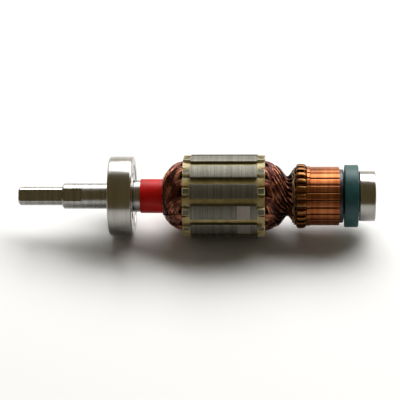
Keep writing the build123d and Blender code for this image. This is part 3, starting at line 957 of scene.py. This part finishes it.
def makeInsulator(name, node, start, end):
    # each finger is a rounded rectangle carried outwards, drawn in at its rim and again for the sunk panel
    s = insulation
    half, panel = s["fingerWidth"] / 2, fingerRadius - s["panelDepth"]
    rows = [(s["hubRadius"] - s["rootDepth"], 0.0), *((fingerRadius - below, inward) for below, inward in s["rim"]),
            (fingerRadius, s["frame"]), (panel, s["frame"] + s["panelSlope"]), (panel, half - s["panelMiddle"])]
    sections = [roundedBox((start + d, -half + d), (end - d, half - d), max(s["fingerRound"] - d / 2, s["leastRound"]))
                for _, d in rows]
    grid = np.stack([np.column_stack([p[:, 0], p[:, 1], np.full(len(p), r)]) for p, (r, _) in zip(sections, rows)])
    points, faces = sweptShell(grid)
    bare = np.arange(len(rows)) > len(rows) - 3  # the last two rows bound the panel
    tint = np.concatenate([np.repeat(bare, grid.shape[1]), [0, 1]]).astype(float)
    angle = pitch * (np.arange(stack["slots"])[:, None] + 0.5)
    allFingers, allFaces = copies((turnedTo(points, angle), faces), stack["slots"])
    hub = lathe(roundedBox((start, coreRadius), (end, s["hubRadius"]), s["hubRound"]), 96)
    makePiece(name, [(allFingers, allFaces, np.tile(tint, stack["slots"])), hub], insulatorBoard,
              [node])


def makeWedge(index):
    # an arched strip: height falls with the square of the place across it, and both ends flare out past the stack
    s = insulation
    u = np.linspace(-1, 1, 11)
    ends = np.linspace(0, 1, 9) ** s["crowding"]
    x = np.concatenate([frontStart + (stackStart - frontStart + s["overlap"]) * ends,
                        rearEnd - (rearEnd - stackEnd + s["overlap"]) * ends[::-1]])
    past = np.maximum(stackStart - x, x - stackEnd).clip(0) / s["flareLength"]
    flare = (s["wedgeFlare"] * past ** s["flarePower"])[:, None]
    arch = s["wedgeArch"] * (1 - u ** 2) + flare * (s["edgeLift"] + u ** 2)
    top = wedgeInner + s["wedgeThickness"] * 0.3 + arch
    half = halfWidth(wedgeInner + s["wedgeSeat"], stack["slots"], stack["toothWidth"]) - s["wedgeGap"]
    narrowing = s["endNarrowing"] * np.sqrt(np.minimum(past[:, None] * 2, 1))
    across = u * half * (1 - narrowing)
    upper, lower = (
        np.stack([np.broadcast_to(x[:, None], top.shape), across, top + side * s["wedgeThickness"] / 2], -1)
        for side in (1, -1)
    )
    points, faces = sweptShell(np.concatenate([upper, lower[:, ::-1]], 1))
    makePiece(f"arched_wedge_{index + 1:02d}", [(turnedTo(points, pitch * index), faces)], slotPaper,
              [f"slot_wedge_{index + 1:02d}"], sharpDegrees=40)


makeInsulator("drive_end_insulator", "end_insulator_drive", frontStart, stackStart)
makeInsulator("commutator_end_insulator", "end_insulator_commutator", stackEnd, rearEnd)
for wedgeIndex in range(stack["slots"]):
    makeWedge(wedgeIndex)
dressNode("slot_liners", slotPaper)
print("insulation made")


# Winding

coils = {
    "count": 12,
    "span": 150.0,           # degrees from one side of a coil to the other
    "across": 9,
    "layers": 2,
    "wireRadius": 0.30,
    "steps": 40,
    "slotHalf": 1.35,
    "nearest": 0.30,         # how far out along the dome the shortest turn goes, and the longest
    "farthest": 0.985,
    "risePower": 2.4,        # how square a turn's way over the dome is
    "depthOfLayer": 0.055,
    "fallOfCoil": 0.36,      # how much deeper a coil lies where it comes back than where it leaves
    "reachSpread": 0.018,    # random spreads, and the height of a wire's waves
    "depthSpread": 0.008,
    "sideSpread": 0.08,
    "waveHeight": 0.010,
    "tail": 2.2,             # length of a wire inside the stack
    "topRadius": 13.1,
    "coreShare": 0.66,
    # painted shade: this tint gives the core the darkest wire tone where it shows between the wires
    "coreShadeTint": 0.05,
    "coreDepth": 0.3,        # how far the core under the wires reaches below its base
    "tints": (0.2, 1.0),
    "frontPower": (2.2, 1.0),                                  # powers in the formula of the dome
    "rearPower": (2.1, 0.9),
    "frontSeed": 3,
    "rearSeed": 4,
    "neckGap": 3.7,          # from the rear dome to the commutator's face
}
rearReach = commStart - rearEnd - coils["neckGap"]


def dome(s, share, base, reachOut, power):
    # the overhang's section at s from 0 to 1: the radius falls as (1 - s^p)^q, all shrunk by share to its inner corner
    height = coils["topRadius"] - base
    out = reachOut * s * share
    radius = base + height * share * (1 - np.clip(s, 0, 1) ** power[0]) ** power[1]
    return out, radius


def overhangWires(base, reachOut, power, seed):
    # turns that leave a slot on top of the others, go round the shaft on the dome, and come back beneath them
    c = coils
    draw = np.random.default_rng(seed)
    shape = (c["count"], c["across"], c["layers"], 1)
    coil, a, b = (v[..., None] for v in np.meshgrid(
        np.arange(c["count"]), np.linspace(0, 1, c["across"]), np.arange(c["layers"]), indexing="ij"))
    t = np.linspace(0, 1, c["steps"])
    rise = 1 - np.abs(2 * t - 1) ** c["risePower"]
    farthest = c["nearest"] + (c["farthest"] - c["nearest"]) * a + draw.normal(0, c["reachSpread"], shape)
    s = farthest.clip(0.1, 0.99) * rise
    share = 1 - c["depthOfLayer"] * b - c["fallOfCoil"] * t + draw.normal(0, c["depthSpread"], shape)
    wave = c["waveHeight"] * np.sin(2 * np.pi * (t * draw.uniform(1, 2.2, shape) + draw.random(shape)))
    out, radius = dome(s, share + wave, base, reachOut, power)
    radius = np.maximum(radius, base + c["wireRadius"] * 1.1)
    lateral = (0.5 - a) * 2 * c["slotHalf"] + draw.normal(0, c["sideSpread"], shape)
    turn = t * t * (3 - 2 * t)
    angle = pitch * coil + np.radians(c["span"]) * turn + (1 - 2 * turn) * lateral / radius
    out = np.concatenate([out[..., :1] - c["tail"], out, out[..., -1:] - c["tail"]], -1)
    radius = np.concatenate([radius[..., :1], radius, radius[..., -1:]], -1)
    angle = np.concatenate([angle[..., :1], angle, angle[..., -1:]], -1)
    wires = out.shape[0] * out.shape[1] * out.shape[2]
    tint = draw.uniform(*c["tints"], wires)
    return out.reshape(wires, -1), radius.reshape(wires, -1), angle.reshape(wires, -1), tint


def tintedTubes(paths, radius, tint, sides=7):
    # tubes whose points all carry the tint of their own wire
    points, faces = tubes(paths, radius, sides)
    return points, faces, np.repeat(tint, len(points) // len(paths))


def domeCore(base, reachOut, power, place):
    # a closed dome under the wires, so that nothing shows between them; it takes the darkest wire tone, as painted
    # shade in the gaps between the wires
    s = np.linspace(0, 1, 28)
    out, radius = dome(s, coils["coreShare"], base, reachOut, power)
    inner = base - coils["coreDepth"]
    outline = np.concatenate([np.stack([place(out), radius + 0.01], -1),
                              [(place(out[-1]), inner), (place(0.0), inner)]])
    points, faces = lathe(outline, 120)
    return points, faces, np.full(len(points), coils["coreShadeTint"])


def makeWinding():
    # at each end of the stack, wires over a core of the same section
    c = coils
    for name, nodes, base, reachOut, power, seed, place in (
        ("front_overhang", ["winding"], sleeveRadius, frontStart - windingStart, c["frontPower"], c["frontSeed"],
         lambda out: frontStart - out),
        ("rear_overhang", [], coreRadius, rearReach, c["rearPower"], c["rearSeed"], lambda out: rearEnd + out),
    ):
        out, radius, angle, tint = overhangWires(base, reachOut, power, seed)
        paths = aroundShaft(place(out), radius - c["wireRadius"], angle)
        shells = [tintedTubes(paths, c["wireRadius"], tint), domeCore(base, reachOut, power, place)]
        makePiece(name, shells, enamelledCopper, nodes, sharpDegrees=60)


leads = {
    "count": 24,
    "radius": 0.33,
    "seed": 8,
    "sweep": 62.0,           # degrees that a turn of 1 in the lists below stands for
    "lift": 0.1,             # height of the leads above the dome
    "strandShare": 0.03,     # how much further out the second strand lies on the dome
    "strandGap": 0.62,       # between the two strands, at a radius of
    "gapRadius": 11.0,
    # points of a lead: (place on the dome, turn, depth), then (along, radius, rise of the second strand, turn)
    "overDome": ((0.30, -1.15, 1.4), (0.50, -0.95, 0.35), (0.70, -0.72, 0.0), (0.88, -0.5, 0.0)),
    "pastNeck": ((0.1, 6.5, 0.5, -0.28), (1.2, 6.9, 0.5, -0.14)),
    "pastFace": ((-1.0, 9.3, 0.3, -0.03), (-0.2, 10.75, 0.0, 0.0), (1.2, 11.15, 0.0, 0.0), (3.0, 11.1, 0.0, 0.0)),
    "steps": 44,
    "turnSpread": 0.025,
    "radiusSpread": 0.06,
    "tints": (0.1, 0.8),
    "coreNeck": ((-1.5, 7.4), (0.0, 6.4), (1.2, 6.8)),         # (past the neck, radius) of the solid under the leads
    "coreFace": ((-0.8, 9.2), (0.02, 10.0)),                   # (past the commutator's face, radius)
    "coreSink": 0.2,
    # painted shade: this tint gives the solid under the leads the darkest wire tone where it shows between them
    "coreShadeTint": 0.02,
}


def makeLeads():
    # two strands to each bar, each a spline over the dome, in at the neck and up under the hook
    c = leads
    draw = np.random.default_rng(c["seed"])
    bar = 2 * np.pi / c["count"] * (np.arange(c["count"]) + 0.5)
    shells = []
    neck = rearEnd + rearReach
    for strand in (0, 1):
        rows = []
        for s, turn, depth in c["overDome"]:
            out, radius = dome(s, 1.0 + c["strandShare"] * strand, coreRadius, rearReach, coils["rearPower"])
            rows.append((rearEnd + out, radius + c["lift"] - depth, turn))
        for origin, part in ((neck, c["pastNeck"]), (commStart, c["pastFace"])):
            rows += [(origin + along, radius + apart * strand, turn) for along, radius, apart, turn in part]
        x, radius, turn = np.array(rows).T
        fading = np.linspace(1, 0, len(x))
        side = (strand - 0.5) * c["strandGap"] / c["gapRadius"]
        jitter = draw.normal(0, c["turnSpread"], (c["count"], 1)) * fading
        angle = bar[:, None] + np.radians(c["sweep"]) * turn + side + jitter
        wobble = radius + draw.normal(0, c["radiusSpread"], (c["count"], 1)) * fading
        control = np.stack(np.broadcast_arrays(x, wobble, angle), -1)
        line = smoothLine(control, c["steps"])
        paths = aroundShaft(line[..., 0], line[..., 1], line[..., 2])
        shells.append(tintedTubes(paths, c["radius"], draw.uniform(*c["tints"], c["count"])))
    core = [(neck + along, radius) for along, radius in c["coreNeck"]]
    core += [(commStart + along, radius) for along, radius in c["coreFace"]]
    inner = coreRadius - c["coreSink"]
    core = [(core[0][0], inner), *core, (core[-1][0], inner)]
    points, faces = lathe(roundedOutline(core, 0.04, 3), 96)
    # the solid under the leads is coloured as the darkest wire: painted shade between the leads
    shells.append((points, faces, np.full(len(points), c["coreShadeTint"])))
    makePiece("commutator_leads", shells, enamelledCopper, sharpDegrees=60)


lacing = {
    "turns": 2,
    "start": 1.35,           # from the commutator's face to the first turn
    "step": 0.50,
    "innerRadius": 9.5,
    "outerRadius": 10.95,
    "cordRadius": 0.13,
    "strands": 2,
    "strandOffset": 0.10,    # from the cord's middle to a strand's
    "lay": 30,               # twists in a turn
    "waves": ((0.20, 12), (0.12, 7.3)),                        # (height, number in a turn)
    "steps": 420,
}


def makeLacing():
    # a cord of twisted strands wound over the leads: each strand circles the cord's own helix
    c = lacing
    t = np.linspace(0, 1, c["steps"])
    turn = t * 2 * np.pi * c["turns"]
    wave = sum(height * np.sin(turn * number) for height, number in c["waves"])
    shells = []
    for strand in range(c["strands"]):
        twist = turn * c["lay"] + 2 * np.pi * strand / c["strands"]
        x = commStart - c["start"] + c["step"] * c["turns"] * t + wave + c["strandOffset"] * np.cos(twist)
        rising = c["innerRadius"] + (c["outerRadius"] - c["innerRadius"]) * t
        radius = rising + c["strandOffset"] * np.sin(twist)
        shells.append(tubes(aroundShaft(x, radius, turn)[None], c["cordRadius"], 6))
    makePiece("lead_lacing", shells, lacingCord, sharpDegrees=60)


makeWinding()
makeLeads()
makeLacing()
print("winding made")


# Commutator

commutator = {
    "bars": 24,
    "slit": 0.5,
    "seatRadius": 10.8,
    "shoulderRadius": 11.25,
    "trackRadius": 11.05,
    "hookLength": 4.05,
    "shoulderLength": 1.2,
    "shoulderRound": 0.08,
    "least": 0.01,           # least length of a step along the bar
    "trackFillet": (0.1, 0.06),                                # along the bar, and outwards
    "edge": 0.12,
    "bend": 0.3,             # share of an edge where its arc turns
    "hookWidth": 1.75,
    "hookWaist": 0.16,       # share by which a hook is narrower at its middle
    "hookThickness": 0.6,
    "hookSquareness": 0.55,
    "hookRise": ((0.25, -0.6), (0.0, -0.1), (0.0, 0.55)),      # (past the hook's front, above the seat)
    "hookCrown": ((0.35, 0.02), (1.0, 0.08), (2.0, 0.06), (2.9, -0.05)),  # (past its front, above its crown)
    "hookFall": ((0.05, 0.35), (0.0, -0.15), (-0.1, -0.5)),    # (past its back, above the seat)
}


def barBody():
    # a wedge-shaped section between two slits, with rounded top corners, carried along the bar's steps
    c = commutator
    hookEnd = commStart + c["hookLength"]
    shoulderEnd = hookEnd + c["shoulderLength"]
    seat, shoulder, track, least = c["seatRadius"], c["shoulderRadius"], c["trackRadius"], c["least"]
    e, bend, rounding = c["edge"], c["edge"] * c["bend"], c["shoulderRound"]
    along, outwards = c["trackFillet"]
    rows = [(commStart, seat - e, e), (commStart + e, seat, 0.0), (hookEnd, seat, 0.0),
            (hookEnd + least, shoulder - rounding + least, 0.0), (hookEnd + rounding, shoulder, 0.0),
            (shoulderEnd - rounding, shoulder, 0.0), (shoulderEnd, track + outwards, 0.0),
            (shoulderEnd + along, track, 0.0), (barEnd - e, track, 0.0), (barEnd - bend, track - bend, e * 0.2),
            (barEnd, track - e, e)]
    x, outer, inset = (v[:, None] for v in np.array(rows).T)
    top = halfWidth(outer, c["bars"], c["slit"]) - inset * 0.5
    root = halfWidth(barRoot, c["bars"], c["slit"])
    across = np.linspace(-1, 1, 7) * (top - e)
    arc = np.sqrt(outer ** 2 - across ** 2)
    corner = np.sqrt(outer ** 2 - top ** 2)
    even = np.ones_like(top)
    u = np.concatenate([-top, bend - top, across, top - bend, top, root * even, -root * even], 1)
    w = np.concatenate([corner - e, corner - bend, arc, corner - bend, corner - e, barRoot * even, barRoot * even], 1)
    return sweptShell(np.stack([np.broadcast_to(x, u.shape), u, w], -1))


def barHook():
    # a section with rounded sides, its cosine and sine raised to a power, carried along a spline over the leads
    c = commutator
    half = c["hookThickness"] / 2
    seat, crown = c["seatRadius"], hookRadius - half
    front, back = commStart + half, commStart + c["hookLength"] - half
    line = smoothLine(np.array([
        (origin + along, level + above)
        for origin, level, part in ((front, seat, "hookRise"), (front, crown, "hookCrown"), (back, seat, "hookFall"))
        for along, above in c[part]
    ]), 26)
    ahead = unit(np.gradient(line, axis=0))
    normal = np.stack([-ahead[:, 1], ahead[:, 0]], -1)
    t = np.linspace(0, 1, len(line))[:, None]
    width = c["hookWidth"] * (1 - c["hookWaist"] * np.sin(np.pi * t) ** 2)
    around = np.linspace(0, 2 * np.pi, 16, endpoint=False)
    ringU, ringN = (np.sign(v) * np.abs(v) ** c["hookSquareness"] for v in (np.cos(around), np.sin(around)))
    place = line[:, None] + normal[:, None] * (ringN * half)[None, :, None]
    return sweptShell(np.stack([place[..., 0], ringU[None] * width / 2, place[..., 1]], -1))


def makeBar(index):
    # a bar and its hook, whose duller tone the tint marks
    angle = 2 * np.pi / commutator["bars"] * (index + 0.5)
    shells = [(turnedTo(points, angle), faces, np.full(len(points), tint))
              for (points, faces), tint in ((barBody(), 0.0), (barHook(), 1.0))]
    makePiece(f"copper_bar_{index + 1:02d}", shells, commutatorCopper,
              [f"commutator_bar_{index + 1:02d}"], sharpDegrees=40)


for barIndex in range(commutator["bars"]):
    makeBar(barIndex)
print("commutator made")
